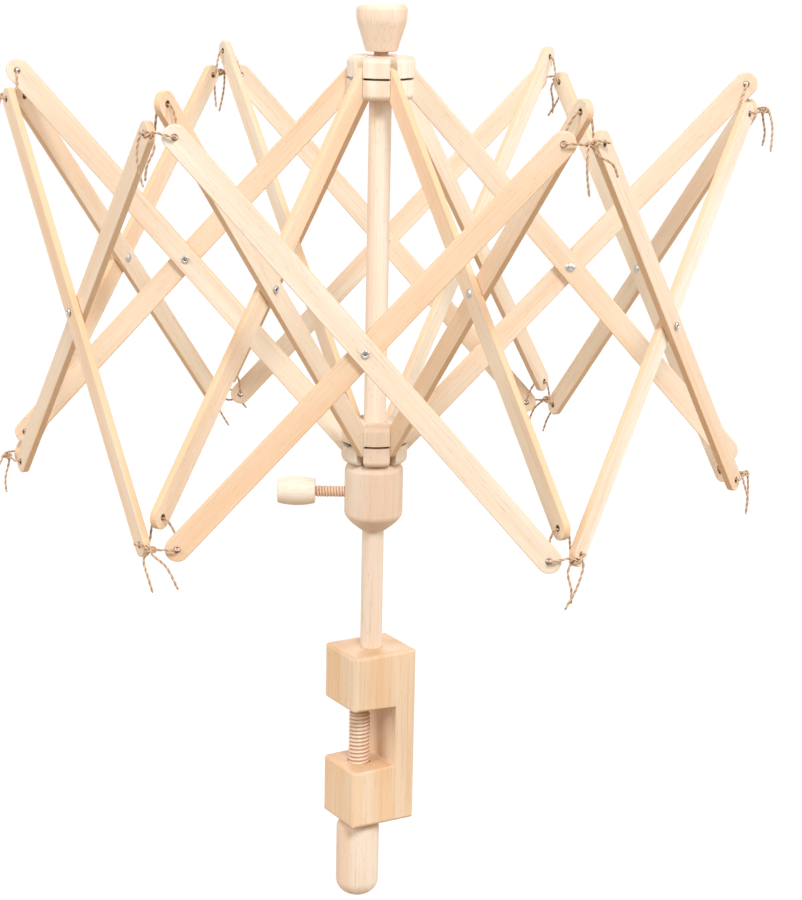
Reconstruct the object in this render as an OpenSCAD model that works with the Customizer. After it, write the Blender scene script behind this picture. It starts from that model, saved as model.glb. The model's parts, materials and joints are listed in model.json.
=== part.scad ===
// Umbrella swift: a table-clamped yarn holder with a folding lattice of slats.
// The origin is on the post's axis, at the face of the upper jaw that lies on the table. +Z is up
// and the clamp opens towards -X. All sizes are millimetres.

/* [Post and top knob] */
// Diameter of the post
post_d = 15; // [12:0.5:18]
// Diameter of the thinner end that the upper hub turns on
spigot_d = 9.5; // [7:0.5:12]
// Height of the upper hub's pivots above the jaw face
pivot_z = 433; // [400:1:470]
// Largest diameter of the top knob
knob_d = 33.5; // [26:0.5:40]
// Diameter of the top knob's foot
knob_foot_d = 21.5; // [16:0.5:25]
// Height of the top knob
knob_h = 31; // [24:1:40]
// Length of spigot that shows between the hub and the knob
knob_neck = 3; // [1:0.5:6]
// Rounding of the top knob below its widest part
knob_round = 21; // [16:0.5:28]
// Depth of the hole in the knob that takes the spigot
knob_socket = 14; // [8:1:20]

/* [Hubs] */
// Diameter of both hubs
hub_d = 45; // [42:0.5:52]
// Height of both hubs
hub_h = 28; // [22:1:34]
// Rounding of the hubs' upper and lower edges
hub_edge = 4; // [2:0.5:6]
// Radius of the wire ring that the ribs pivot on
pivot_r = 18; // [17.5:0.1:19]
// Diameter of the hub wire
wire_d = 1.2; // [0.8:0.1:1.4]
// Width over the wire's two twisted ends
twist_d = 2.1; // [1.6:0.1:2.4]
// Length of the twisted ends along the hub
twist_l = 7; // [4:0.5:10]

/* [Slats] */
// Width of a slat
slat_w = 15; // [11:0.5:15]
// Thickness of a slat
slat_t = 4.5; // [3:0.1:5]
// Length of a slat between its end holes
slat_span = 331; // [300:1:350]
// Diameter of the holes at a slat's ends
end_hole_d = 3.5; // [3.2:0.1:4.5]
// Diameter of a rivet's shank
rivet_d = 3; // [2:0.1:4]
// Diameter of a rivet's domed head
rivet_head_d = 6.4; // [5:0.1:9]
// Height of a rivet's domed head
rivet_head_h = 1.3; // [0.8:0.1:2]

/* [Fold] */
// Slope of every slat at rest, steeper as the swift folds
fold_angle = 48; // [25:1:78]
// Direction of the first arm, anticlockwise from +X
head_turn = 28; // [0:1:59]

/* [String ties] */
// Diameter of the string
string_d = 1.6; // [1:0.1:2]
// How far the outer slats hang below the ribs' end holes
tie_drop = 18; // [17:0.5:26]
// Distance of the inner layer of outer slats from the line between two rib ends
tie_offset = 5; // [4.8:0.1:9]

/* [Lock collar] */
// Diameter of the collar
collar_d = 40; // [38:0.5:46]
// Height of the collar
collar_h = 48; // [40:1:56]
// Size of the collar's lower chamfer
collar_foot = 11; // [6:0.5:11]
// Width of the collar's upper chamfer
collar_brow = 3; // [1:0.5:5]
// Height of the collar's upper chamfer
collar_brow_h = 4.5; // [1:0.5:7]
// Depth of the lock screw below the collar's top
lock_drop = 22; // [18:0.5:28]
// Direction of the lock screw, anticlockwise from +X
lock_angle = 150; // [0:1:359]
// Diameter over the lock screw's thread
lock_d = 8; // [6:0.5:10]
// Pitch of the lock screw's thread
lock_pitch = 2; // [1.5:0.1:3]
// Length of thread that shows between the collar and the lock knob
lock_show = 20; // [14:1:26]
// Diameter of the lock knob at its middle
lock_knob_d = 20; // [18:0.5:26]
// Diameter of the lock knob at its ends
lock_knob_end_d = 16.5; // [13:0.5:17.5]
// Length of the lock knob
lock_knob_l = 26; // [20:1:32]

/* [Table clamp] */
// Length of the clamp from the jaws' mouth to its back
clamp_x = 50; // [44:1:60]
// Width of the clamp across the jaws
clamp_y = 43; // [36:1:50]
// Height of the upper jaw
upper_jaw = 40; // [34:1:46]
// Opening between the jaws
jaw_gap = 44; // [36:1:50]
// Height of the lower jaw
lower_jaw = 42; // [34:1:48]
// Thickness of the clamp's back
back_x = 16.5; // [12:0.5:20]
// Rounding of the clamp's edges
clamp_edge = 3.5; // [1:0.5:5]
// Depth of the hole in the clamp that takes the post
post_socket = 30; // [20:1:32]
// Diameter over the clamp screw's thread
screw_d = 15; // [12:0.5:18]
// Pitch of the clamp screw's thread
screw_pitch = 2.8; // [2:0.1:4]
// Room between the clamp screw's tip and the upper jaw at rest
screw_tip_gap = 6; // [3:0.5:8]
// Diameter of the clamp screw's grip
grip_d = 30; // [26:1:40]
// Height of the clamp screw's grip
grip_h = 56; // [44:1:64]
// Rounding of the grip's lower end
grip_foot = 11.5; // [6:0.5:12]
// Rounding of the grip's upper end
grip_brow = 5.5; // [2:0.5:8]

/* [Fits] */
// Radial room of a rivet or a turning shank in its hole
run_gap = 0.05; // [0.02:0.01:0.1]
// Radial room of the hubs and the collar on the post
slide_gap = 0.25; // [0.1:0.05:0.4]
// Room between faces and threads that move past each other
side_gap = 0.3; // [0.2:0.05:0.5]

/* [Hidden] */
$fn = 48;
arms = 6;
step = 360 / arms;
half_step = step / 2;
arm_names = ["1", "2", "3", "4", "5", "6"];
wood = "wheat";
pale_wood = "blanchedalmond";
metal = "silver";
twine = "tan";

// Heights and radii of the folded lattice
lower_z = pivot_z - slat_span * sin(fold_angle);
middle_z = (pivot_z + lower_z) / 2;
tip_r = pivot_r + slat_span * cos(fold_angle);
rib_side = (slat_t + side_gap) / 2;
inner_layer = tie_offset;
outer_layer = tie_offset + slat_t + side_gap;
tie_gap = pivot_r / 2;
rivet_grip = 2 * slat_t + 2 * side_gap;

// Hub details
slot_w = slat_t + 2 * side_gap;
slot_r = pivot_r - slat_w / 2 - side_gap;
groove_w = wire_d + side_gap;
groove_r = pivot_r - wire_d / 2 - side_gap;
wire_leg_d = 0.8 * wire_d;
hub_base = pivot_z - hub_h / 2;
lower_hub_base = lower_z - hub_h / 2;

// Post, collar and screw details
knob_base = hub_base + hub_h + knob_neck;
knob_edge = 4.5;
knob_waist = 7.5;
knob_ease = 1;
collar_base = lower_hub_base - side_gap - collar_h;
lock_z = collar_base + collar_h - lock_drop;
lock_tip = post_d / 2 + slide_gap;
lock_thread_l = collar_d / 2 + lock_show - lock_tip;
lock_shank_d = lock_d - lock_pitch;
lock_knob_edge = 2.6;
lock_shank_l = 14;
clamp_top = upper_jaw;
clamp_base = -jaw_gap - lower_jaw;
back_face = clamp_x / 2 - back_x;
screw_x = (back_face - clamp_x / 2) / 2;
grip_room = 2;
grip_top = clamp_base - grip_room;
screw_thread_l = -screw_tip_gap - grip_top;
screw_shank_d = screw_d - screw_pitch;
screw_shank_l = 24;
thread_rows = 4;
thread_sides = 12;
string_parts = 2;
string_sides = 8;

// Directions and small helpers
function arm_angle(k) = head_turn + step * k;
function unit(v) = v / norm(v);
function flat(a) = [cos(a), sin(a), 0];

// A point of a smooth curve through c[i] and c[i + 1], for t from 0 to 1
function curve_point(c, i, t) =
    let (a = c[max(i - 1, 0)], b = c[i], d = c[i + 1], e = c[min(i + 2, len(c) - 1)])
    0.5 * (2 * b + (d - a) * t + (2 * a - 5 * b + 4 * d - e) * t ^ 2
        + (3 * b - 3 * d + e - a) * t ^ 3);

// The whole curve, with a few points to each stretch
function smooth(c, parts) = concat(
    [for (i = [0:len(c) - 2]) for (j = [0:parts - 1]) curve_point(c, i, j / parts)],
    [c[len(c) - 1]]
);

// Directions along a line and square to it, the second carried from point to point
function along(p, i) = unit(p[min(i + 1, len(p) - 1)] - p[max(i - 1, 0)]);
function sideways(p, i, last) =
    i == len(p) ? [] :
    let (t = along(p, i), n = unit(last - (last * t) * t))
    concat([n], sideways(p, i + 1, n));

// The smallest distance between stretches of a line that aren't neighbours
function least_gap(p, apart) =
    min([for (i = [0:len(p) - 1]) for (j = [i + 1:1:len(p) - 1])
        if (j - i > apart) norm(p[i] - p[j])]);

// Triangles of a closed skin over rows of points, with a point at each end
function skin(rows, sides) = concat(
    [for (i = [0:rows - 2]) for (s = [0:sides - 1])
        [i * sides + s, (i + 1) * sides + s, (i + 1) * sides + (s + 1) % sides]],
    [for (i = [0:rows - 2]) for (s = [0:sides - 1])
        [i * sides + s, (i + 1) * sides + (s + 1) % sides, i * sides + (s + 1) % sides]],
    [for (s = [0:sides - 1]) [rows * sides, s, (s + 1) % sides]],
    [for (s = [0:sides - 1])
        [rows * sides + 1, (rows - 1) * sides + (s + 1) % sides, (rows - 1) * sides + s]]
);

// A round tube along a line of points
module tube(p, d, sides) {
    side = sideways(p, 0, [0.31, 0.17, 0.93]);
    rings = [for (i = [0:len(p) - 1]) for (s = [0:sides - 1])
        p[i] + d / 2 * (cos(360 * s / sides) * side[i]
            + sin(360 * s / sides) * cross(along(p, i), side[i]))];
    polyhedron(concat(rings, [p[0], p[len(p) - 1]]), skin(len(p), sides));
}

// A screw along +Z: its tip at 0, a right-handed thread, then a plain shank
function ridge(turn) = 0.5 + 0.5 * cos(360 * turn);
module threaded_rod(d, pitch, thread_l, shank_d, shank_l) {
    depth = 0.4 * pitch;
    rise = pitch / thread_rows;
    count = floor(thread_l / rise);
    levels = concat([for (i = [0:count - 1]) i * rise], [thread_l, thread_l + shank_l]);
    rows = len(levels);
    function radius(i, a) =
        i == 0 ? d / 2 - 2 * depth :
        i >= rows - 2 ? shank_d / 2 :
        d / 2 - depth + depth * ridge(levels[i] / pitch - a / 360);
    rings = [for (i = [0:rows - 1]) for (s = [0:thread_sides - 1])
        let (a = 360 * s / thread_sides)
        radius(i, a) * flat(a) + [0, 0, levels[i]]];
    ends = [[0, 0, 0], [0, 0, levels[rows - 1]]];
    polyhedron(concat(rings, ends), skin(rows, thread_sides));
}

// Half outline of a turned piece with a rounded lower and upper edge
module turned_outline(r, h, low, high) {
    translate([0, low]) square([r, h - low - high]);
    square([r - low, low]);
    translate([0, h - high]) square([r - high, high]);
    intersection() {
        translate([r - low, low]) circle(low);
        square([r, h]);
    }
    intersection() {
        translate([r - high, h - high]) circle(high);
        square([r, h]);
    }
}

module turned(d, h, low, high) {
    rotate_extrude() turned_outline(d / 2, h, low, high);
}

module rounded_rectangle(x, y, r) {
    square([x - 2 * r, y], center = true);
    square([x, y - 2 * r], center = true);
    for (i = [-1, 1])
        for (j = [-1, 1])
            translate([i * (x / 2 - r), j * (y / 2 - r)]) circle(r);
}

// Post, top knob and clamp
module post() {
    post_base = clamp_top - post_socket;
    shoulder = hub_base - slide_gap;
    color(pale_wood) {
        translate([0, 0, post_base]) cylinder(d = post_d, h = shoulder - post_base);
        translate([0, 0, shoulder]) cylinder(d = spigot_d, h = knob_base + knob_socket - shoulder);
    }
}

// Half outline of the top knob: a straight taper that runs into a rounding, and a rounded top edge
module knob_outline() {
    r = knob_d / 2;
    foot = [knob_foot_d / 2, knob_ease];
    middle = [r - knob_round, knob_h - knob_waist];
    slant = foot - middle;
    turn = atan2(slant.y, slant.x) + acos(knob_round / norm(slant));
    meet = middle + knob_round * [cos(turn), sin(turn)];
    polygon([[0, 0], [foot.x - knob_ease, 0], foot, meet, [0, meet.y]]);
    intersection() {
        translate(middle) circle(knob_round);
        translate([0, meet.y]) square([r, middle.y - meet.y]);
    }
    translate([0, middle.y]) square([r, knob_waist - knob_edge]);
    translate([0, knob_h - knob_edge]) square([r - knob_edge, knob_edge]);
    intersection() {
        translate([r - knob_edge, knob_h - knob_edge]) circle(knob_edge);
        square([r, knob_h]);
    }
}

module top_knob() {
    color(wood) translate([0, 0, knob_base]) difference() {
        rotate_extrude() knob_outline();
        translate([0, 0, -1]) cylinder(d = spigot_d, h = knob_socket + 1);
    }
}

// The clamp's outline from the side, open towards -X
module clamp_outline() {
    whole_z = upper_jaw + jaw_gap + lower_jaw;
    difference() {
        translate([0, clamp_top - whole_z / 2]) rounded_rectangle(clamp_x, whole_z, clamp_edge);
        translate([-clamp_x, -jaw_gap]) square([clamp_x + back_face, jaw_gap]);
    }
}

module clamp_body() {
    whole_z = upper_jaw + jaw_gap + lower_jaw;
    color(wood) difference() {
        intersection() {
            rotate([90, 0, 0]) linear_extrude(clamp_y, center = true) clamp_outline();
            translate([0, 0, clamp_base])
                linear_extrude(whole_z) rounded_rectangle(clamp_x, clamp_y, clamp_edge);
            translate([0, 0, clamp_top - whole_z / 2]) rotate([90, 0, 90])
                linear_extrude(clamp_x, center = true)
                    rounded_rectangle(clamp_y, whole_z, clamp_edge);
        }
        translate([0, 0, clamp_top - post_socket]) cylinder(d = post_d, h = post_socket + 1);
        translate([screw_x, 0, clamp_base - 1])
            cylinder(d = screw_d + 2 * side_gap, h = lower_jaw + 2);
    }
}

module clamp_screw() {
    color(wood) translate([screw_x, 0, -screw_tip_gap]) mirror([0, 0, 1]) mirror([1, 0, 0])
        threaded_rod(screw_d, screw_pitch, screw_thread_l, screw_shank_d, screw_shank_l);
}

module clamp_grip() {
    color(wood) translate([screw_x, 0, grip_top - grip_h]) difference() {
        turned(grip_d, grip_h, grip_foot, grip_brow);
        translate([0, 0, grip_h - screw_shank_l - 1])
            cylinder(d = screw_shank_d + 2 * run_gap, h = screw_shank_l + 2);
    }
}

// Hubs: a turned block with a slot for each rib and a groove for the wire
module hub(bore_d, side) {
    color(wood) difference() {
        turned(hub_d, hub_h, hub_edge, hub_edge);
        translate([0, 0, -1]) cylinder(d = bore_d, h = hub_h + 2);
        for (k = [0:arms - 1])
            rotate(arm_angle(k)) translate([slot_r, side * rib_side - slot_w / 2, -1])
                cube([hub_d, slot_w, hub_h + 2]);
        translate([0, 0, hub_h / 2]) rotate_extrude()
            translate([groove_r, -groove_w / 2]) square([hub_d, groove_w]);
    }
}

module upper_hub() {
    translate([0, 0, hub_base]) hub(spigot_d + 2 * slide_gap, -1);
}

module lower_hub() {
    translate([0, 0, lower_hub_base]) hub(post_d + 2 * slide_gap, 1);
}

// Wire ring with its twisted ends bent flat against the hub
module hub_wire(arm) {
    bend_r = hub_d / 2 + twist_d / 2 + side_gap;
    color(metal) rotate(arm_angle(arm) + half_step) {
        rotate_extrude() translate([pivot_r, 0]) circle(d = wire_d);
        translate([pivot_r, 0, 0]) rotate([0, 90, 0]) cylinder(d = wire_leg_d, h = bend_r - pivot_r);
        translate([bend_r, 0, 0]) sphere(d = twist_d);
        translate([bend_r, 0, 0]) rotate([-90, 0, 0]) cylinder(d = twist_d, h = twist_l);
    }
}

module upper_wire() {
    translate([0, 0, pivot_z]) hub_wire(2);
}

module lower_wire() {
    translate([0, 0, lower_z]) hub_wire(2);
}

// Half outline of the lock collar: a wide chamfer below and a steep one above
module collar_outline() {
    r = collar_d / 2;
    polygon([
        [0, 0],
        [r - collar_foot, 0],
        [r, collar_foot],
        [r, collar_h - collar_brow_h],
        [r - collar_brow, collar_h],
        [0, collar_h]
    ]);
}

// Lock collar with its thumb screw
module lock_collar() {
    color(wood) difference() {
        translate([0, 0, collar_base]) rotate_extrude() collar_outline();
        translate([0, 0, collar_base - 1]) cylinder(d = post_d + 2 * slide_gap, h = collar_h + 2);
        translate([0, 0, lock_z]) rotate([0, 90, lock_angle])
            cylinder(d = lock_d + 2 * side_gap, h = collar_d);
    }
}

module lock_screw() {
    color(wood) translate([0, 0, lock_z]) rotate([0, 90, lock_angle]) translate([0, 0, lock_tip])
        threaded_rod(lock_d, lock_pitch, lock_thread_l, lock_shank_d, lock_shank_l);
}

// Half outline of a barrel with rounded edges
module barrel_outline(d, end_d, h, edge) {
    bulge = (d - end_d) / 2;
    bow_r = (bulge ^ 2 + (h / 2) ^ 2) / (2 * bulge);
    intersection() {
        translate([d / 2 - bow_r, h / 2]) circle(bow_r);
        turned_outline(d / 2, h, edge, edge);
    }
}

module lock_knob() {
    color(wood) translate([0, 0, lock_z]) rotate([0, 90, lock_angle])
        translate([0, 0, lock_tip + lock_thread_l]) difference() {
            rotate_extrude()
                barrel_outline(lock_knob_d, lock_knob_end_d, lock_knob_l, lock_knob_edge);
            translate([0, 0, -1])
                cylinder(d = lock_shank_d + 2 * run_gap, h = lock_shank_l + 2);
        }
}

// A slat along +X, from its first end hole at 0, standing on edge
module slat(middle_hole_d) {
    rotate([90, 0, 0]) linear_extrude(slat_t, center = true) difference() {
        union() {
            translate([0, -slat_w / 2]) square([slat_span, slat_w]);
            for (x = [0, slat_span]) translate([x, 0]) circle(d = slat_w);
        }
        for (x = [0, slat_span]) translate([x, 0]) circle(d = end_hole_d);
        translate([slat_span / 2, 0]) circle(d = middle_hole_d);
    }
}

module upper_rib(k) {
    color(pale_wood) rotate(arm_angle(k)) translate([pivot_r, -rib_side, pivot_z])
        rotate([0, fold_angle, 0]) slat(rivet_d + 2 * run_gap);
}

module lower_rib(k) {
    color(pale_wood) rotate(arm_angle(k)) translate([pivot_r, rib_side, lower_z])
        rotate([0, -fold_angle, 0]) slat(rivet_d + 2 * run_gap);
}

// Outer slats lie in the face between arm k and the next one, in two layers
module face_slat(k, layer, slope) {
    color(pale_wood) rotate(arm_angle(k) + half_step)
        translate([tip_r * cos(half_step) + layer, 0, middle_z - tie_drop]) rotate([slope, 0, 0])
            rotate(90) translate([-slat_span / 2, 0, 0]) slat(rivet_d + 2 * run_gap);
}

module falling_slat(k) {
    face_slat(k, outer_layer, -fold_angle);
}

module rising_slat(k) {
    face_slat(k, inner_layer, fold_angle);
}

// Semi-tubular rivet along +X, with its grip centred on 0 and its hollow end at +X
module rivet() {
    ball_r = (rivet_head_h ^ 2 + (rivet_head_d / 2) ^ 2) / (2 * rivet_head_h);
    roll_d = 0.5 * rivet_d;
    reach = rivet_grip / 2;
    color(metal) rotate([0, 90, 0]) difference() {
        union() {
            translate([0, 0, -reach]) cylinder(d = rivet_d, h = 2 * reach + roll_d / 2);
            translate([0, 0, reach + roll_d / 2]) rotate_extrude()
                translate([rivet_d / 2, 0]) circle(d = roll_d);
            intersection() {
                translate([0, 0, -reach - rivet_head_h + ball_r]) sphere(ball_r);
                translate([0, 0, -reach - rivet_head_h]) cylinder(d = rivet_head_d, h = rivet_head_h);
            }
        }
        translate([0, 0, reach - slat_t / 2]) cylinder(d = rivet_d / 2, h = slat_t);
    }
}

module rib_rivet(k) {
    out = pivot_r + slat_span / 2 * cos(fold_angle);
    rotate(arm_angle(k)) translate([out, 0, middle_z]) rotate(90) rivet();
}

module slat_rivet(k) {
    layer = (inner_layer + outer_layer) / 2;
    rotate(arm_angle(k) + half_step)
        translate([tip_r * cos(half_step) + layer, 0, middle_z - tie_drop]) rivet();
}

// A string tie at the top, seen from its rib's end hole: +X points away from the post, +Y round it.
// The string comes up from one loose end, crosses itself in front, goes in through the outer slat,
// through the rib, out through the inner slat, crosses again and ends in the other loose end. It
// lies low in the rib's hole and high in the slats' holes, which hang on it.
function tie_hole(layer, side) = [
    layer * cos(half_step) - tie_gap / 2,
    side * (tie_gap * cos(half_step) + layer / 2),
    -tie_drop
];

function tie_route() =
    let (
        hang = [0, 0, (end_hole_d - string_d) / 2 - side_gap],
        a = tie_hole(outer_layer, 1) + hang,
        b = tie_hole(inner_layer, -1) + hang,
        out_a = flat(half_step),
        out_b = flat(-half_step),
        rib = [0, rib_side, 0] - hang,
        mouth = slat_t / 2 + side_gap,
        stand = slat_t / 2 + 1.5 * string_d,
        knot = [outer_layer + slat_t / 2, 0, 3 - tie_drop],
        rib_a = rib + [0, stand, 0],
        rib_b = rib - [0, stand, 0],
        in_a = a - stand * out_a,
        in_b = b - stand * out_b
    ) [
        knot + [4, -10, -30],
        knot + [5, -9, -15],
        knot + [4, -4, -4],
        knot + [2, 0, 0],
        a + (stand + 1) * out_a,
        a + mouth * out_a,
        a - mouth * out_a,
        in_a,
        (in_a + rib_a) / 2 + [-1, 1, 0],
        rib_a,
        rib + [0, mouth, 0],
        rib - [0, mouth, 0],
        rib_b,
        (in_b + rib_b) / 2 + [-1, -1, 0],
        in_b,
        b - mouth * out_b,
        b + mouth * out_b,
        b + (stand + 1) * out_b,
        knot + [-1, 0, -3],
        knot + [1, 5, -9],
        knot + [3, 9, -17],
        knot + [2, 11, -26]
    ];

// At the bottom the ribs and layers lie the other way round, so the route is mirrored
top_route = smooth(tie_route(), string_parts);
bottom_route = [for (p = top_route) [p.x, -p.y, p.z]];
strand_gap = least_gap(top_route, 3) - string_d;
echo(str("least gap between a tie's strands, mm: ", strand_gap));

module top_tie(k) {
    color(twine) rotate(arm_angle(k)) translate([tip_r, 0, pivot_z])
        tube(top_route, string_d, string_sides);
}

module bottom_tie(k) {
    color(twine) rotate(arm_angle(k)) translate([tip_r, 0, lower_z])
        tube(bottom_route, string_d, string_sides);
}

post();
top_knob();
clamp_body();
clamp_screw();
clamp_grip();
upper_hub();
upper_wire();
lower_hub();
lower_wire();
lock_collar();
lock_screw();
lock_knob();
for (k = [0:arms - 1]) {
    upper_rib(k);
    lower_rib(k);
    rib_rivet(k);
    falling_slat(k);
    rising_slat(k);
    slat_rivet(k);
    top_tie(k);
    bottom_tie(k);
}
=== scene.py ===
# %% [markdown]
# # Umbrella swift
# A swift holds a skein of yarn while it is wound into a ball. Ribs on two hubs fold like an umbrella
# and carry a lattice of crossed slats, and string ties the slats together at the tips. The whole
# lattice turns on a post that a wooden clamp holds on a table edge.
#
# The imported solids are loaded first. They are the fixed frame: each new piece is placed from their
# joints and boxes, and rides on one of their bodies.

# %% Load the frame
import json
import math

import bmesh
import bpy
import numpy as np
from mathutils import Matrix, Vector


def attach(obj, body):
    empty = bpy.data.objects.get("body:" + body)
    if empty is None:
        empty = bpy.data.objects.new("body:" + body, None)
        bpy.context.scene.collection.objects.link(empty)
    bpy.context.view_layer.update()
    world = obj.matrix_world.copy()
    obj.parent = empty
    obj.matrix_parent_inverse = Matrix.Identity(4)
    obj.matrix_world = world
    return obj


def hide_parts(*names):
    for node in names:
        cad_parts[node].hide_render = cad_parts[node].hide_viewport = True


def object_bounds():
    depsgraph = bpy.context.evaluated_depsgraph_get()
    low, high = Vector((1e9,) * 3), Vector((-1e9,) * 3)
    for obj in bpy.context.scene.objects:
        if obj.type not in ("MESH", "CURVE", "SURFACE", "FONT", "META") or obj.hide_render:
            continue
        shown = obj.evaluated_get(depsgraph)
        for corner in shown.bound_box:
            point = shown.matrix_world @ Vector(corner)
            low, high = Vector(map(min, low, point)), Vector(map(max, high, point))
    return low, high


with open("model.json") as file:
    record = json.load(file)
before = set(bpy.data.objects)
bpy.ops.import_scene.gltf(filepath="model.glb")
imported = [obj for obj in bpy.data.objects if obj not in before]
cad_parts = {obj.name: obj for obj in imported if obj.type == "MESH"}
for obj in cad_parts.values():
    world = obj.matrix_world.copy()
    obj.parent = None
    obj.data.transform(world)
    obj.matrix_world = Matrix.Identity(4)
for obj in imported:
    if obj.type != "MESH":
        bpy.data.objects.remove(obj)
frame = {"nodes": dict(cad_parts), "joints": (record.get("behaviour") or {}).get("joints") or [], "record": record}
cad_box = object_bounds()
joints = {joint["name"]: joint for joint in frame["joints"]}
MM = 0.001
ARMS = range(1, 7)
UP = np.array([0.0, 0.0, 1.0])


def joint_at(name):
    """A point on a joint's axis, in metres."""
    return np.array(joints[name]["pos_m"])


def joint_axis(name):
    return np.array(joints[name]["axis"])


# %% [markdown]
# ## The camera
# The photograph was taken from a little above the hubs with a long lens, so the far side of the
# lattice is only slightly smaller than the near side. The place, the lens and the small lean of the
# picture were worked out from points that can be seen in it: the hub grooves, the rivets and the
# slat ends.

# %% Camera
PHOTO_W = 802
FOCAL_PX = 2324.6
PRINCIPAL_X = 374.3
CAMERA_AZIMUTH = math.radians(-30.4)
CAMERA_ELEVATION = math.radians(13.9)
CAMERA_ROLL = math.radians(1.0)
CAMERA_DISTANCE = 1.5895
CAMERA_TARGET = np.array([0.0, 0.0, 0.1803])
SENSOR_W = 36
FAR_CLIP = 20


def camera_axes(azimuth, elevation, roll):
    """Right, up and back vectors: back points from the target to the camera."""
    back = np.array([math.sin(azimuth) * math.cos(elevation),
                     -math.cos(azimuth) * math.cos(elevation), math.sin(elevation)])
    level = np.array([math.cos(azimuth), math.sin(azimuth), 0.0])
    upright = np.cross(back, level)
    right = math.cos(roll) * level + math.sin(roll) * upright
    return right, np.cross(back, right), back


def looking(axes, distance):
    """The matrix of a camera or lamp that looks at the target along its own axes."""
    place = np.eye(4)
    place[:3, :3] = np.stack(axes, axis=1)
    place[:3, 3] = CAMERA_TARGET + distance * axes[2]
    return Matrix(place.tolist())


camera_data = bpy.data.cameras.new("camera")
camera_data.sensor_fit = "HORIZONTAL"
camera_data.sensor_width = SENSOR_W
camera_data.lens = SENSOR_W * FOCAL_PX / PHOTO_W
camera_data.shift_x = (PHOTO_W / 2 - PRINCIPAL_X) / PHOTO_W
camera_data.clip_end = FAR_CLIP
camera = bpy.data.objects.new("camera", camera_data)
bpy.context.scene.collection.objects.link(camera)
camera.matrix_world = looking(camera_axes(CAMERA_AZIMUTH, CAMERA_ELEVATION, CAMERA_ROLL),
                              CAMERA_DISTANCE)
bpy.context.scene.camera = camera
bpy.context.scene.view_settings.view_transform = "Standard"
print("camera at", np.round(camera.matrix_world.translation, 3), "lens", round(camera_data.lens, 1), "mm")

# %% [markdown]
# ## Shader maths in Python
# A shader is a graph of nodes, which is hard to read as code. This class wraps one output of a node,
# so that `1 - mask` or `a * b` adds the Math nodes by itself. Every other node comes from one method.

# %% Wire class
MIX_A, MIX_B, MIX_OUT = 6, 7, 2
VECTOR_OUT, NUMBER_OUT, OBJECT_OUT = 1, 2, 3


class Wire:
    """One output of a shader node. Python's operators on it add Math nodes."""

    def __init__(self, tree, socket):
        self.tree = tree
        self.socket = socket

    def node(self, kind, settings=None, sockets=None, out=0):
        """Adds a node: its settings are set first, then its sockets are given values or links."""
        made = self.tree.nodes.new(kind)
        for name, value in (settings or {}).items():
            setattr(made, name, value)
        for key, value in (sockets or {}).items():
            if isinstance(value, Wire):
                self.tree.links.new(value.socket, made.inputs[key])
            else:
                made.inputs[key].default_value = value
        return Wire(self.tree, made.outputs[out])

    def maths(self, operation, a, b=0.0):
        """One Math node on two numbers or wires."""
        return self.node("ShaderNodeMath", {"operation": operation}, {0: a, 1: b})

    def __add__(self, other):
        return self.maths("ADD", self, other)

    def __sub__(self, other):
        return self.maths("SUBTRACT", self, other)

    def __mul__(self, other):
        return self.maths("MULTIPLY", self, other)

    def __pow__(self, other):
        return self.maths("POWER", self, other)

    def __rsub__(self, other):
        return self.maths("SUBTRACT", other, self)

    def __abs__(self):
        return self.maths("ABSOLUTE", self)

    __radd__ = __add__
    __rmul__ = __mul__

    def most(self, other):
        return self.maths("MAXIMUM", self, other)

    def step(self, low, high):
        """0 below low, 1 above high and a smooth rise between them."""
        return self.node("ShaderNodeMapRange", {"interpolation_type": "SMOOTHSTEP"},
                         {"Value": self, "From Min": low, "From Max": high})

    def blend(self, colour_a, colour_b):
        """colour_a where this is 0, colour_b where it is 1."""
        return self.node("ShaderNodeMix", {"data_type": "RGBA"},
                         {0: self, MIX_A: colour_a, MIX_B: colour_b}, out=MIX_OUT)

    def stretched(self, scale):
        """This vector with its three parts scaled."""
        return self.node("ShaderNodeMapping", None, {"Vector": self, "Scale": scale})

    def part(self, index):
        """One of the three parts of this vector."""
        return self.node("ShaderNodeSeparateXYZ", None, {0: self}, out=index)

    def noise(self, scale, detail=2.0, roughness=0.5):
        """Soft random clouds, about 1 / scale metres across."""
        return self.node("ShaderNodeTexNoise", None,
                         {"Vector": self, "Scale": scale, "Detail": detail, "Roughness": roughness})

    def stored(self, name, out=NUMBER_OUT):
        """What a piece keeps under a name for each of its points: a number or a vector."""
        return self.node("ShaderNodeAttribute", {"attribute_name": name}, out=out)

    def own_place(self):
        """Where the point lies in its own object."""
        return self.node("ShaderNodeTexCoord", out=OBJECT_OUT)


def new_material(name):
    """An empty material, its principled shader and a wire to start from."""
    material = bpy.data.materials.new(name)
    material.use_nodes = True
    tree = material.node_tree
    shader = tree.nodes["Principled BSDF"]
    return material, shader, Wire(tree, shader.outputs[0])


def connect(wire, shader, socket):
    wire.tree.links.new(wire.socket, shader.inputs[socket])


print("shader helpers ready")
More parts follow.
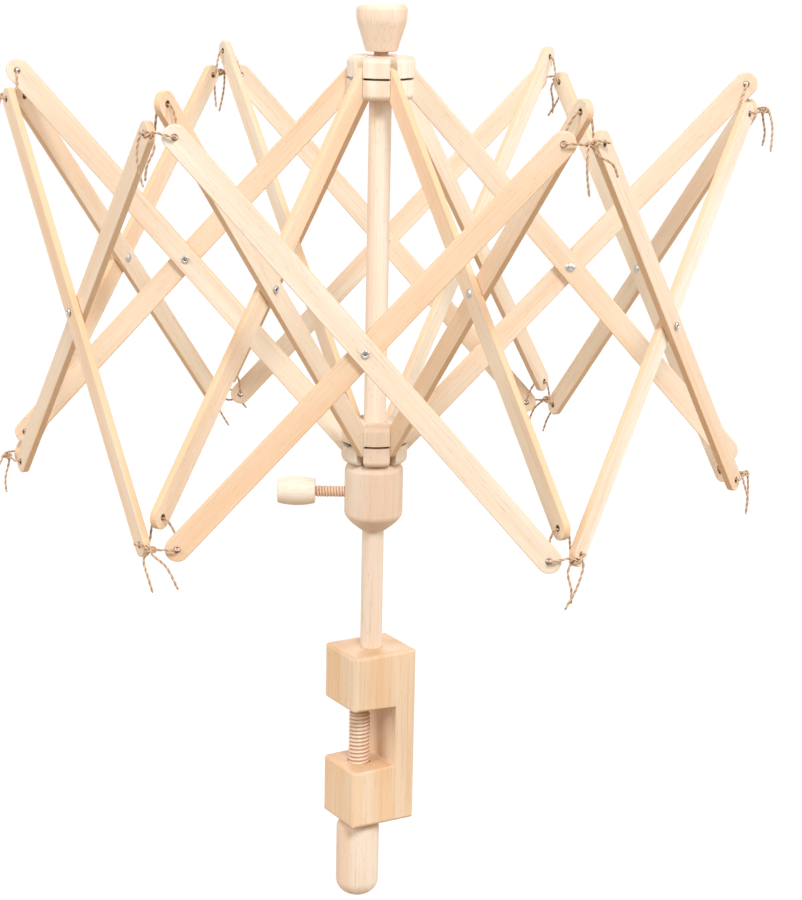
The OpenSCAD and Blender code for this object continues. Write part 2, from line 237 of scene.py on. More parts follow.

# %% [markdown]
# ## Bare wood
# All the wood is pale, sanded and unvarnished. Close up it has long soft bands where it is creamier or
# pinker, fine straight streaks along the grain, and short brown flecks. All three are the same noise,
# drawn out along the grain by different amounts. Each new piece carries its own coordinates in an
# attribute called grain, with the grain along the first of them, and two numbers. The tint says how
# pink its board was; on some slats a deeper tint is painted shade. The other number, from 0 to 1, says
# where the wood is darker. On end grain that is partly the wood's own colour and partly painted shade
# on faces that look up or down; in the valleys of a thread and on the post's thin neck it is painted
# shade.
#
# A slat also carries the plain coordinates of its face, so that the shader can find its holes, which
# are burnt brown, and its edges, which are painted darker and more orange: painted shade that stands
# in for the warm shade on the slats' narrow faces, and that falls on lit edges too.

# %% Wood colours
CREAM = (0.93, 0.90, 0.80, 1)
PINK = (0.88, 0.64, 0.48, 1)
PEACH = (0.88, 0.62, 0.41, 1)
ORANGE = (0.88, 0.57, 0.31, 1)
STREAK = (0.66, 0.42, 0.24, 1)
FLECK = (0.42, 0.25, 0.13, 1)
BURNT = (0.20, 0.10, 0.05, 1)
# Brown of darker end grain, and of painted shade on the post's neck, in thread valleys and on faces that look up
# or down.
SHADE_AND_END_GRAIN_BROWN = (0.46, 0.22, 0.10, 1)
# Painted shade on every slat edge: darker and more orange.
EDGE_SHADE = (0.80, 0.50, 0.26, 1)
FLECK_SHARE, EDGE_SHADE_SHARE, BURNT_SHARE = 0.30, 0.55, 0.85
LEAST_DEEP, DEEP_BY_TINT = 0.15, 0.6
print("nine wood colours")

# %% [markdown]
# Each pattern is six numbers: the stretch along the grain, the scale, detail and roughness of its
# noise, and the two limits between which the noise becomes 0 to 1.

# %% Wood materials
BANDS = (0.08, 55.0, 2.0, 0.5, 0.30, 0.72)
STREAKS = (0.022, 850.0, 3.0, 0.6, 0.46, 0.74)
FLECKS = (0.10, 1500.0, 1.0, 0.5, 0.67, 0.75)
GRAIN_BUMP = {"Strength": 0.25, "Distance": 0.2 * MM}
WOOD_ROUGH, STREAK_ROUGH = 0.52, 0.14
WOOD_SHINE = 0.3
SPAN = 0.331
END_HOLE_R = 1.75 * MM
BURNT_RIM = 0.9 * MM
EDGE_FROM, EDGE_TO = 6.9 * MM, 7.4 * MM


def bare_wood(name, deep, bands=0.5, streaks=0.30, own_grain=True, holes=False):
    """Cream wood with bands of a deeper colour, streaks and flecks, all drawn out along the grain."""
    material, shader, start = new_material(name)
    if own_grain:
        place = start.stored("grain", VECTOR_OUT)
        tint, soil = start.stored("tint"), start.stored("soil")
        lengthwise = 0
    else:
        place, tint, lengthwise = start.own_place(), 0.5, 2

    def pattern(stretch, scale, detail, roughness, low, high):
        drawn = [1.0, 1.0, 1.0]
        drawn[lengthwise] = stretch
        return place.stretched(drawn).noise(scale, detail, roughness).step(low, high)

    band, streak, fleck = pattern(*BANDS), pattern(*STREAKS), pattern(*FLECKS)
    colour = ((band - 0.5) * bands + tint * DEEP_BY_TINT + LEAST_DEEP).blend(CREAM, deep)
    colour = (streak * streaks).blend(colour, STREAK)
    colour = (fleck * FLECK_SHARE).blend(colour, FLECK)
    # Darker end grain and painted shade, as much as the stored number says.
    if own_grain:
        colour = soil.blend(colour, SHADE_AND_END_GRAIN_BROWN)
    if holes:
        face = start.stored("face", VECTOR_OUT)
        across, beyond = face.part(1), abs(face.part(0) - SPAN / 2) - SPAN / 2
        from_hole = (across ** 2.0 + beyond * beyond) ** 0.5
        rim = 1.0 - from_hole.step(END_HOLE_R, END_HOLE_R + BURNT_RIM)
        # Painted shade along every edge of the slat, which turns darker and more orange.
        edge = from_hole.step(EDGE_FROM, EDGE_TO) * beyond.step(0.0, 1.0 * MM)
        edge = edge.most(abs(across).step(EDGE_FROM, EDGE_TO))
        colour = (edge * EDGE_SHADE_SHARE).blend(colour, EDGE_SHADE)
        colour = (rim * BURNT_SHARE).blend(colour, BURNT)
    connect(colour, shader, "Base Color")
    connect(WOOD_ROUGH + STREAK_ROUGH * streak, shader, "Roughness")
    height = streak * -0.5 + fleck * -0.5
    connect(start.node("ShaderNodeBump", None, {**GRAIN_BUMP, "Height": height}), shader, "Normal")
    shader.inputs["Specular IOR Level"].default_value = WOOD_SHINE
    return material


cad_wood = bare_wood("cad_wood", PEACH, own_grain=False)
turned_wood = bare_wood("turned_wood", PINK)
slat_wood = bare_wood("slat_wood", PEACH, holes=True)
clamp_wood = bare_wood("clamp_wood", ORANGE, bands=0.4, streaks=0.40)
print("wood:", turned_wood.name, slat_wood.name, clamp_wood.name)

# %% [markdown]
# ## Metal and twine
# The rivets are plain pressed steel with a dull shine, and the hub wire is darker drawn steel. The
# twine is twisted brown yarn: its two plies show as a pattern along the string, and the grooves
# between them are darkened with painted shade.

# %% Metal and twine materials
STEEL = (0.62, 0.60, 0.57, 1)
DRAWN_STEEL = (0.34, 0.31, 0.29, 1)
DULLED = 0.7
SHINE_CHANGE = 0.16
TWINE_BROWN = (0.56, 0.37, 0.24, 1)
TWINE_PALE = (0.76, 0.58, 0.44, 1)
TWINE_GROOVE_SHADE = (0.38, 0.23, 0.14, 1)


def plain_metal(name, colour, roughness):
    """Steel with small changes in its shine."""
    material, shader, start = new_material(name)
    cloud = start.own_place().noise(700.0, 3.0)
    connect(roughness - SHINE_CHANGE / 2 + SHINE_CHANGE * cloud, shader, "Roughness")
    dark = tuple(DULLED * c for c in colour[:3]) + (1,)
    connect(cloud.step(0.35, 0.7).blend(dark, colour), shader, "Base Color")
    shader.inputs["Metallic"].default_value = 1.0
    return material


def twisted_twine(name):
    """Brown yarn with painted shade between its plies, which an attribute called ply marks."""
    material, shader, start = new_material(name)
    ply = start.stored("ply")
    colour = start.own_place().noise(420.0, 3.0).step(0.3, 0.7).blend(TWINE_BROWN, TWINE_PALE)
    # Painted shade in the grooves between the plies.
    colour = ply.step(0.0, 0.6).blend(TWINE_GROOVE_SHADE, colour)
    connect(colour, shader, "Base Color")
    shader.inputs["Roughness"].default_value = 0.85
    shader.inputs["Specular IOR Level"].default_value = 0.2
    return material


rivet_metal = plain_metal("rivet_metal", STEEL, 0.34)
wire_metal = plain_metal("wire_metal", DRAWN_STEEL, 0.40)
twine = twisted_twine("twine")
slot_materials = {"turned_wood": cad_wood, "slat_wood": cad_wood, "steel": wire_metal,
                  "rivet_metal": rivet_metal, "twine": twine}
for part in frame["record"]["subparts"]:
    node = frame["nodes"][part["node"]]
    node.data.materials.clear()
    node.data.materials.append(slot_materials[part["material_slot"]])

# %% [markdown]
# ## Surfaces from grids
# Each new piece is one or more grids of points, worked out as whole arrays. A grid may close on itself
# along its rows, its columns or both. The grids of a piece share their border points, and welding
# those makes one closed skin.


# %% Grid helpers
def quads_of(rows, columns, wrap_rows, wrap_columns):
    """Corner numbers of the quads of a grid stored row by row."""
    i = np.arange(rows if wrap_rows else rows - 1)[:, None]
    j = np.arange(columns if wrap_columns else columns - 1)[None, :]
    i, j = np.broadcast_arrays(i, j)
    next_i, next_j = (i + 1) % rows, (j + 1) % columns
    corners = [i * columns + j, i * columns + next_j,
               next_i * columns + next_j, next_i * columns + j]
    return np.stack(corners, axis=-1).reshape(-1, 4)


class Skin:
    """Grids of points that are welded into one mesh."""

    def __init__(self):
        self.points = []
        self.quads = []
        self.count = 0

    def add(self, grid, wrap_rows=False, wrap_columns=False):
        rows, columns = grid.shape[:2]
        self.quads.append(quads_of(rows, columns, wrap_rows, wrap_columns) + self.count)
        self.points.append(grid.reshape(-1, 3))
        self.count += rows * columns
        return self

    def join(self, other):
        """Takes over the grids of another skin."""
        self.quads.extend(quads + self.count for quads in other.quads)
        self.points.extend(other.points)
        self.count += other.count

    def mesh(self, name, weld=2e-6):
        """The welded mesh, with its faces turned outwards."""
        mesh = bpy.data.meshes.new(name)
        mesh.from_pydata(np.concatenate(self.points), [], np.concatenate(self.quads))
        shape = bmesh.new()
        shape.from_mesh(mesh)
        bmesh.ops.remove_doubles(shape, verts=shape.verts, dist=weld)
        bmesh.ops.dissolve_degenerate(shape, edges=shape.edges, dist=weld)
        bmesh.ops.recalc_face_normals(shape, faces=shape.faces)
        shape.to_mesh(mesh)
        shape.free()
        return mesh


print("grid helpers ready")

# %% [markdown]
# ## From mesh to piece
# A piece is first made lying along x, where its grain is stored, and then carried to its place. Then
# it rides on a body, has a material and stands for a node of the frame.


# %% Piece helpers
def points_of(mesh):
    found = np.empty(len(mesh.vertices) * 3, np.float32)
    mesh.vertices.foreach_get("co", found)
    return found.reshape(-1, 3).astype(float)


def store(mesh, name, kind, values):
    """Keeps a number or a vector for each point under a name that a shader can read."""
    made = mesh.attributes.new(name, kind, "POINT")
    made.data.foreach_set("vector" if kind == "FLOAT_VECTOR" else "value",
                          np.asarray(values, np.float32).ravel())


def paint_grain(mesh, lengthwise, tint, seed, soil=0.0):
    """Stores the wood's own coordinates moved by a random step, its tint, and its end grain and painted shade."""
    step = np.random.default_rng(seed).uniform(-5, 5, 3)
    store(mesh, "grain", "FLOAT_VECTOR", lengthwise + step)
    store(mesh, "tint", "FLOAT", np.full(len(mesh.vertices), tint))
    store(mesh, "soil", "FLOAT", np.full(len(mesh.vertices), soil))


def square_to(axis):
    """A direction square to axis, level where it can be."""
    side = np.cross(UP, axis)
    if np.linalg.norm(side) < 0.01:
        side = np.array([1.0, 0.0, 0.0])
    return side / np.linalg.norm(side)


def carry(mesh, origin, along, thick):
    """Moves a mesh to its place: x goes along it, z through its thickness."""
    along, thick = np.asarray(along, float), np.asarray(thick, float)
    moved = origin + points_of(mesh) @ np.stack([along, np.cross(thick, along), thick])
    mesh.vertices.foreach_set("co", moved.astype(np.float32).ravel())


def finish_piece(name, mesh, body, node, material, sharp=40.0):
    """Shades the mesh smooth up to an angle, and lets the piece ride and stand for its node."""
    mesh.polygons.foreach_set("use_smooth", np.ones(len(mesh.polygons), bool))
    if sharp:
        mesh.set_sharp_from_angle(angle=math.radians(sharp))
    mesh.materials.append(material)
    piece = bpy.data.objects.new(name, mesh)
    bpy.context.scene.collection.objects.link(piece)
    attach(piece, body)
    if node:
        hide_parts(node)
    return piece


print("piece helpers ready")

# %% [markdown]
# ## Slats
# All the slats are alike: thin strips with round ends, a hole at each end for wire or string and one
# in the middle for a rivet. Their sawn edges have been eased with sandpaper. A flat strip with holes
# could be cut with a boolean, but a grid is cleaner: at each station along the slat, half of its face
# runs from the middle line, or from the rim of a hole, out to the edge.

# %% Slat shape
SLAT_W = 15 * MM
SLAT_T = 4.5 * MM
SLAT_EASE = 0.7 * MM
RIVET_HOLE_R = 1.55 * MM
ARC = np.linspace(0, np.pi, 17)
QUARTER = np.linspace(np.pi / 2, 0, 5)
FACE_SHARES = np.array([[0, 0.5, 0.97, 1]])


def slat_skin():
    """Along x from the first hole at 0, across y, thick along z.

    Edge height is the half width on the straight part and a circle about each end hole. The face's
    point at share v is rim + v (edge - rim), where rim is the hole's own circle, or 0 between holes.
    """
    half = SLAT_W / 2 - SLAT_EASE
    holes = [(0.0, END_HOLE_R), (SPAN / 2, RIVET_HOLE_R), (SPAN, END_HOLE_R)]
    stations = [centre - radius * np.cos(ARC) for centre, radius in holes]
    stations += [-half * np.cos(ARC[:9]), SPAN + half * np.cos(ARC[:9])]
    x = np.unique(np.round(np.concatenate(stations), 9))
    beyond = np.maximum(np.maximum(-x, x - SPAN), 0)
    edge = np.sqrt(np.maximum(half ** 2 - beyond ** 2, 0))
    rim = np.max([np.sqrt(np.maximum(r ** 2 - (x - c) ** 2, 0)) for c, r in holes], axis=0)
    across = rim[:, None] + FACE_SHARES * (edge - rim)[:, None]
    skin = Skin()
    for side in (-1, 1):
        for face in (-1, 1):
            z = np.full_like(across, face * SLAT_T / 2)
            skin.add(np.stack([np.broadcast_to(x[:, None], across.shape), side * across, z], -1))
    loop = np.concatenate([np.stack([x, edge], -1), np.stack([x, -edge], -1)[-2:0:-1]])
    nearest = np.clip(loop[:, 0], 0, SPAN)
    out = (loop - np.stack([nearest, np.zeros_like(nearest)], -1)) / half
    step_out = SLAT_EASE * np.concatenate([np.cos(QUARTER), np.cos(QUARTER[::-1])])
    height = SLAT_T / 2 - SLAT_EASE + SLAT_EASE * np.sin(QUARTER)
    height = np.concatenate([height, -height[::-1]])
    sides = loop[:, None, :] + step_out[None, :, None] * out[:, None, :]
    skin.add(np.concatenate([sides, np.broadcast_to(height, sides.shape[:2])[..., None]], -1),
             wrap_rows=True)
    for centre, radius in holes:
        in_hole = np.abs(x - centre) < radius + 1e-8
        ring = np.concatenate([np.stack([x, rim], -1)[in_hole],
                               np.stack([x, -rim], -1)[in_hole][-2:0:-1]])
        wall = np.broadcast_to(ring[:, None, :], (len(ring), 2, 2))
        ends = np.broadcast_to([SLAT_T / 2, -SLAT_T / 2], (len(ring), 2))[..., None]
        skin.add(np.concatenate([wall, ends], -1), wrap_rows=True)
    return skin


slat_blank = slat_skin().mesh("slat_blank", weld=0.01 * MM)
print("a slat of", len(slat_blank.polygons), "faces")

# %% [markdown]
# Every slat is a copy of that one. The ribs of an arm lie on both sides of the arm's middle plane, and
# the outer slats start at the joints of their ties. All of them slope by the same angle. The boards
# differ in colour, and the tints follow the photograph. Part of that is painted shade: a deeper,
# browner tint stands in for a slat that is turned away from the light.

# %% Twenty-four slats
RIB_SIDE = 2.4 * MM
BOARD_TINT = 0.55
# Board tints: partly the boards' own tone, partly painted shade for slats turned away from the light.
SLAT_TONE_AND_SHADE = {"falling_slat_4": 0.05, "rising_slat_4": 1.0, "falling_slat_3": 1.0,
              "rising_slat_3": 0.6, "falling_slat_5": 0.9, "rising_slat_5": 0.15,
              "falling_slat_2": 0.75, "rising_slat_2": 0.5,
              "upper_rib_4": 0.75, "upper_rib_5": 0.8, "upper_rib_3": 1.1, "lower_rib_3": 0.45,
              "lower_rib_6": 0.7, "upper_rib_6": 0.75, "lower_rib_4": 0.7, "lower_rib_5": 0.9}
upper_pivot = joint_at("fold")
lower_pivot = joint_at("runner_pivot")
FOLD = math.asin((upper_pivot[2] - lower_pivot[2]) / SPAN)
PIVOT_R = np.hypot(*upper_pivot[:2])


def make_slat(name, start, along, thick, seed):
    """A copy of the blank from its first hole at start, with its own grain and tint."""
    mesh = slat_blank.copy()
    local = points_of(mesh)
    store(mesh, "face", "FLOAT_VECTOR", local)
    paint_grain(mesh, local, SLAT_TONE_AND_SHADE.get(name, BOARD_TINT), seed)
    carry(mesh, start, along, thick)
    finish_piece(name + "_wood", mesh, name, name, slat_wood)


def falling_along(level):
    """The direction of a slat that goes down while it goes along a level direction."""
    return math.cos(FOLD) * level - math.sin(FOLD) * UP


def rising_along(level):
    return math.cos(FOLD) * level + math.sin(FOLD) * UP


for n in ARMS:
    round_post, face = joint_axis(f"rib_crossing_{n}"), joint_axis(f"falling_slat_{n}_turn")
    outward, across_face = np.cross(round_post, UP), np.cross(UP, face)
    make_slat(f"upper_rib_{n}", PIVOT_R * outward + upper_pivot[2] * UP - RIB_SIDE * round_post,
              falling_along(outward), round_post, 10 + n)
    make_slat(f"lower_rib_{n}", PIVOT_R * outward + lower_pivot[2] * UP + RIB_SIDE * round_post,
              rising_along(outward), round_post, 20 + n)
    make_slat(f"falling_slat_{n}", joint_at(f"falling_slat_{n}_turn"),
              falling_along(across_face), face, 30 + n)
    make_slat(f"rising_slat_{n}", joint_at(f"rising_slat_{n}_turn"),
              rising_along(across_face), face, 40 + n)
print("24 slats sloping", round(math.degrees(FOLD), 1), "degrees")

# %% [markdown]
# ## Turned pieces
# The post, the knobs and the grip were turned on a lathe, and a lathe is also how they are made here:
# half an outline is carried round an axis. An outline is a list of corners, each with its own
# rounding.


# %% Lathe
def rounded_outline(corners, steps=10):
    """A line through (radius, height, rounding) corners, in mm, with an arc at each rounded corner.

    The arc's middle lies on the line that halves the corner, at rounding / sin(half the angle), and
    its points run from one touching point to the other in even turns.
    """
    corners = np.array(corners, float)
    line = [corners[:1, :2]]
    for before, here, after in zip(corners[:-2], corners[1:-1], corners[2:]):
        if not here[2]:
            line.append(here[None, :2])
            continue
        a, b = (before - here)[:2], (after - here)[:2]
        a, b = a / np.linalg.norm(a), b / np.linalg.norm(b)
        half = math.acos(np.clip(a @ b, -1, 1)) / 2
        middle = here[:2] + here[2] / math.sin(half) * (a + b) / np.linalg.norm(a + b)
        first = here[:2] + here[2] / math.tan(half) * a - middle
        last = here[:2] + here[2] / math.tan(half) * b - middle
        sweep, share = np.pi - 2 * half, np.linspace(0, 1, steps + 1)[:, None]
        arc = np.sin((1 - share) * sweep) * first + np.sin(share * sweep) * last
        line.append(middle + arc / math.sin(sweep))
    line.append(corners[-1:, :2])
    return np.concatenate(line)


def lathe(outline, sides=96):
    """Rings along x: each outline point's radius times the cosine and sine of even turns."""
    turn = np.linspace(0, 2 * np.pi, sides, endpoint=False)[None, :]
    radius, height = outline[:, :1] * MM, outline[:, 1:] * MM
    grid = np.stack([height + 0 * turn, radius * np.cos(turn), radius * np.sin(turn)], -1)
    return Skin().add(grid, wrap_columns=True)


def make_turned(name, body, skin, origin, axis, material, tint=0.5, seed=0, sharp=40.0,
                painted_shade=lambda height, radius: 0.0):
    """A turned piece whose painted shade comes from a function of each point's height and radius, in metres."""
    mesh = skin.mesh(name + "_turned")
    local = points_of(mesh)
    paint_grain(mesh, local, tint, seed, painted_shade(local[:, 0], np.hypot(local[:, 1], local[:, 2])))
    carry(mesh, origin, axis, square_to(axis))
    finish_piece(name + "_turned", mesh, body, name, material, sharp)


print("lathe ready")

# %% [markdown]
# Heights on the post are those of the frame. The knobs and the grip are measured from their own ends,
# and each has a closed socket for the spigot or the shank inside it. The lock knob bulges: its side is
# an arc of a large circle.

# %% Post, knobs and grip
POST_R, SPIGOT_R = 7.5, 4.75
POST_FOOT_Z, SHOULDER_Z, KNOB_Z = 12.0, 418.75, 450.0
SPIGOT_TOP_Z = KNOB_Z + 13.5
KNOB_R, KNOB_FOOT_R, KNOB_H = 16.75, 10.44, 31.0
KNOB_WAIST_Z, KNOB_SOCKET_R, KNOB_SOCKET = 20.56, SPIGOT_R + 0.02, 14.0
GRIP_R, GRIP_H, GRIP_SOCKET_R, GRIP_SOCKET, GRIP_TOP_Z = 15.0, 56.0, 6.2, 24.0, -88.0
SCREW_X = -8.25
LOCK_R, LOCK_END_R, LOCK_H, LOCK_BOW_R = 10.0, 8.3, 26.0, 49.2
LOCK_SOCKET_R, LOCK_SOCKET, LOCK_KNOB_AT = 3.1, 14.0, 40.0
LOCK_Z = joint_at("lock_knob_turn")[2]
LOCK_AXIS = joint_axis("lock_knob_turn")
# Painted shade on the post's thin neck, between the hub and the top knob.
NECK_SHADE = 0.75

post_outline = rounded_outline([(0, POST_FOOT_Z, 0), (POST_R, POST_FOOT_Z, 0),
                                (POST_R, SHOULDER_Z, 0.6), (SPIGOT_R, SHOULDER_Z, 0),
                                (SPIGOT_R, SPIGOT_TOP_Z, 0), (0, SPIGOT_TOP_Z, 0)])
knob_outline = rounded_outline([(0, KNOB_SOCKET, 0), (KNOB_SOCKET_R, KNOB_SOCKET, 0),
                                (KNOB_SOCKET_R, 0, 0), (KNOB_FOOT_R, 0, 1.0),
                                (KNOB_R, KNOB_WAIST_Z, 21), (KNOB_R, KNOB_H, 4.5),
                                (0, KNOB_H, 0)], 14)
grip_outline = rounded_outline([(0, -GRIP_SOCKET, 0), (GRIP_SOCKET_R, -GRIP_SOCKET, 0),
                                (GRIP_SOCKET_R, 0, 0.6), (GRIP_R, 0, 5.5),
                                (GRIP_R, -GRIP_H, 11.5), (0, -GRIP_H, 0)], 14)
bow_z = np.linspace(2, LOCK_H - 2, 12)
bow_r = LOCK_R - LOCK_BOW_R + np.sqrt(LOCK_BOW_R ** 2 - (bow_z - LOCK_H / 2) ** 2)
lock_outline = rounded_outline([(0, LOCK_SOCKET, 0), (LOCK_SOCKET_R, LOCK_SOCKET, 0),
                                (LOCK_SOCKET_R, 0, 0.4), (LOCK_END_R, 0, 1.2),
                                *np.stack([bow_r, bow_z, 0 * bow_z], -1),
                                (LOCK_END_R, LOCK_H, 1.2), (0, LOCK_H, 0)])
# Above its shoulder the post is darkened with painted shade.
make_turned("post", "stand", lathe(post_outline), np.zeros(3), UP, turned_wood,
            tint=0.55, seed=1,
            painted_shade=lambda height, radius: NECK_SHADE * (height > (SHOULDER_Z + 1) * MM))
make_turned("top_knob", "stand", lathe(knob_outline), KNOB_Z * MM * UP, UP,
            turned_wood, tint=0.8, seed=2)
make_turned("clamp_grip", "clamp_grip", lathe(grip_outline),
            np.array([SCREW_X, 0, GRIP_TOP_Z]) * MM, UP, turned_wood,
            tint=0.7, seed=3)
make_turned("lock_knob", "lock_knob", lathe(lock_outline),
            LOCK_Z * UP + LOCK_KNOB_AT * MM * LOCK_AXIS, LOCK_AXIS, turned_wood,
            tint=0.4, seed=4)
print("post, two knobs and a grip turned")

# %% [markdown]
# The rivets are made in the same way: a domed head, a shank, and a hollow end that the press rolled
# over.

# %% Rivets
RIVET_REACH = 4.8
RIVET_R = 1.5
DOME_R, DOME_EDGE_R, DOME_H = 4.588, 3.2, 1.3
ROLL_R, ROLL_MIDDLE_R = 0.75, 1.75
HOLLOW_R, HOLLOW_Z = 1.0, 2.6

dome = np.linspace(0, math.asin(DOME_EDGE_R / DOME_R), 9)
head = np.stack([DOME_R * np.sin(dome), -RIVET_REACH - DOME_H + DOME_R * (1 - np.cos(dome))], -1)
roll = np.radians(np.linspace(-90, 180, 13))
lip = np.stack([ROLL_MIDDLE_R + ROLL_R * np.cos(roll), RIVET_REACH + ROLL_R + ROLL_R * np.sin(roll)],
               -1)
rivet_outline = np.concatenate([head, [(RIVET_R, -RIVET_REACH), (RIVET_R, RIVET_REACH)], lip,
                                [(HOLLOW_R, HOLLOW_Z), (0, HOLLOW_Z)]])
rivet_skin = lathe(rivet_outline, 32)
for n in ARMS:
    make_turned(f"rib_rivet_{n}", f"upper_rib_{n}", rivet_skin, joint_at(f"rib_crossing_{n}"),
                joint_axis(f"rib_crossing_{n}"), rivet_metal)
    face = joint_axis(f"falling_slat_{n}_turn")
    middle = joint_at(f"falling_slat_{n}_turn") + SPAN / 2 * falling_along(np.cross(UP, face))
    make_turned(f"slat_rivet_{n}", f"falling_slat_{n}", rivet_skin, middle - RIB_SIDE * face, face,
                rivet_metal)
print("12 rivets")

# %% [markdown]
# ## Wooden screws
# Both screws have a coarse thread with rounded crests and narrower valleys. On a rod along x, the
# crest is where the height in pitches equals the turn, so a cosine of their difference draws it. The
# valleys are darkened with painted shade.

# %% Screws
THREAD_DEPTH = 0.4
CREST_POWER = 0.6
TIP_SHARE = 0.80
# Painted shade in the thread valleys.
VALLEY_SHADE = 0.8
SCREW_TIP_Z, LOCK_TIP = -6.0, 7.8
CLAMP_THREAD = {"diameter": 15, "pitch": 2.8, "length": 81.4, "plain_r": 6.1, "plain_l": 20.6}
LOCK_THREAD = {"diameter": 8, "pitch": 2, "length": 31.8, "plain_r": 3.0, "plain_l": 12.4}


def thread_skin(diameter, pitch, length, plain_r, plain_l, sides=48, rows_a_turn=14):
    """Radius = outside - depth (1 - c^0.6), where c = 0.5 + 0.5 cos(2 pi (height / pitch - turn)).

    The first pitch tapers towards the tip, and a plain shank follows the thread. Sizes are in mm.
    """
    height = np.arange(0, length, pitch / rows_a_turn)[:, None]
    turn = np.linspace(0, 1, sides, endpoint=False)[None, :]
    crest = (0.5 + 0.5 * np.cos(2 * np.pi * (height / pitch - turn))) ** CREST_POWER
    radius = diameter / 2 - THREAD_DEPTH * pitch * (1 - crest)
    radius = radius * np.minimum(1, TIP_SHARE + height / pitch * (1 - TIP_SHARE))
    more = np.array([[length], [length + plain_l]])
    height = np.concatenate([height[:1], height, more, more[1:]])
    plain = np.full((2, sides), plain_r)
    radius = np.concatenate([np.zeros((1, sides)), radius, plain, np.zeros((1, sides))])
    angle = 2 * np.pi * turn
    grid = np.stack([height + 0 * angle, radius * np.cos(angle), radius * np.sin(angle)], -1)
    return Skin().add(grid * MM, wrap_columns=True)


def make_screw(name, origin, axis, thread, tint, seed):
    """A screw with painted shade = (outside - radius) / depth: 0 on a crest and most in a valley."""
    def painted_shade(height, radius):
        below = (thread["diameter"] / 2 - radius / MM) / (THREAD_DEPTH * thread["pitch"])
        return VALLEY_SHADE * np.clip(below, 0, 1)

    make_turned(name, name, thread_skin(**thread), origin, axis, turned_wood,
                tint, seed, sharp=60, painted_shade=painted_shade)


make_screw("clamp_screw", np.array([SCREW_X, 0, SCREW_TIP_Z]) * MM, -UP, CLAMP_THREAD,
           tint=0.9, seed=5)
make_screw("lock_screw", LOCK_Z * UP + LOCK_TIP * MM * LOCK_AXIS, LOCK_AXIS, LOCK_THREAD,
           tint=0.6, seed=6)
print("two wooden screws")

# %% [markdown]
# ## Hubs, collar and clamp
# These solids already have the right faces, and only their edges are too crisp. A copy of each mesh is
# welded, its flat faces are joined, and every sharp edge is rounded. The foot of the collar is a
# straight cone in the solid. In the photograph it bulges a little, so it is cut into rings that swell.

# %% Eased copies
BORE_ROOM = 10 * MM
SHARP_SLANT = math.radians(32)
FLAT_SLANT = math.radians(0.5)
FOOT_SWELL = 1.3 * MM
FOOT_CUTS = (0.2, 0.4, 0.6, 0.8)


def swell_foot(mesh, base, foot):
    """Outside the bore, the radius grows by FOOT_SWELL sin(pi height / foot)."""
    points = points_of(mesh)
    radius = np.hypot(points[:, 0], points[:, 1])
    swell = FOOT_SWELL * np.sin(np.pi * np.clip((points[:, 2] - base) / foot, 0, 1))
    points[:, :2] *= 1 + (radius > 0.9 * BORE_ROOM)[:, None] * (swell / radius)[:, None]
    mesh.vertices.foreach_set("co", points.astype(np.float32).ravel())
    mesh.update()


def eased_copy(node, width, rims=(), rim_width=0.0, bore_x=0.0, foot=0.0):
    """Rounds the outer rims at some heights by their own width, then every other sharp edge."""
    mesh = frame["nodes"][node].data.copy()
    mesh.materials.clear()
    base = points_of(mesh)[:, 2].min()
    shape = bmesh.new()
    shape.from_mesh(mesh)
    bmesh.ops.remove_doubles(shape, verts=shape.verts, dist=1e-6)
    bmesh.ops.dissolve_limit(shape, angle_limit=FLAT_SLANT, verts=shape.verts, edges=shape.edges)
    for share in FOOT_CUTS if foot else ():
        bmesh.ops.bisect_plane(shape, geom=[*shape.verts, *shape.edges, *shape.faces], dist=1e-7,
                               plane_co=(0, 0, base + share * foot), plane_no=(0, 0, 1))

    def on_rim(edge):
        a, b = (vert.co for vert in edge.verts)
        level = any(abs(a.z - base - z) + abs(b.z - base - z) < 1e-6 for z in rims)
        return level and edge.is_convex and math.hypot(a.x - bore_x, a.y) > BORE_ROOM

    for wanted, offset in ((on_rim, rim_width), (bool, width)):
        sharp = [edge for edge in shape.edges if edge.is_manifold
                 and edge.calc_face_angle() > SHARP_SLANT and wanted(edge)]
        bmesh.ops.bevel(shape, geom=sharp, offset=offset, offset_type="OFFSET", segments=3,
                        profile=0.5, affect="EDGES", clamp_overlap=True)
    bmesh.ops.recalc_face_normals(shape, faces=shape.faces)
    shape.to_mesh(mesh)
    shape.free()
    if foot:
        swell_foot(mesh, base, foot)
    return mesh


print("easing ready")

# %% [markdown]
# The shading favours the large flat faces, so that they stay flat. The grain of these pieces runs
# upwards, and faces that look up or down are darker: partly end grain, and partly painted shade that
# holds the tops down under the high key lamp and shades the collar's brow under the hub.

# %% Hubs, collar and clamp
JAW_RIMS = (42 * MM, 86 * MM)
COLLAR_RIMS = (11 * MM, 43.5 * MM, 48 * MM)
# Faces that look up or down darken: end grain, and painted shade.
END_GRAIN_AND_SHADE = 0.4


def weigh_normals(mesh):
    """Each point's normal: the sum of its faces' normals times their areas."""
    count = len(mesh.polygons)
    area, normal = np.empty(count, np.float32), np.empty(count * 3, np.float32)
    sizes, corner = np.empty(count, np.int32), np.empty(len(mesh.loops), np.int32)
    mesh.polygons.foreach_get("area", area)
    mesh.polygons.foreach_get("normal", normal)
    mesh.polygons.foreach_get("loop_total", sizes)
    mesh.loops.foreach_get("vertex_index", corner)
    total = np.zeros((len(mesh.vertices), 3))
    np.add.at(total, corner, np.repeat(normal.reshape(-1, 3) * area[:, None], sizes, axis=0))
    total /= np.maximum(np.linalg.norm(total, axis=1, keepdims=True), 1e-12)
    return total


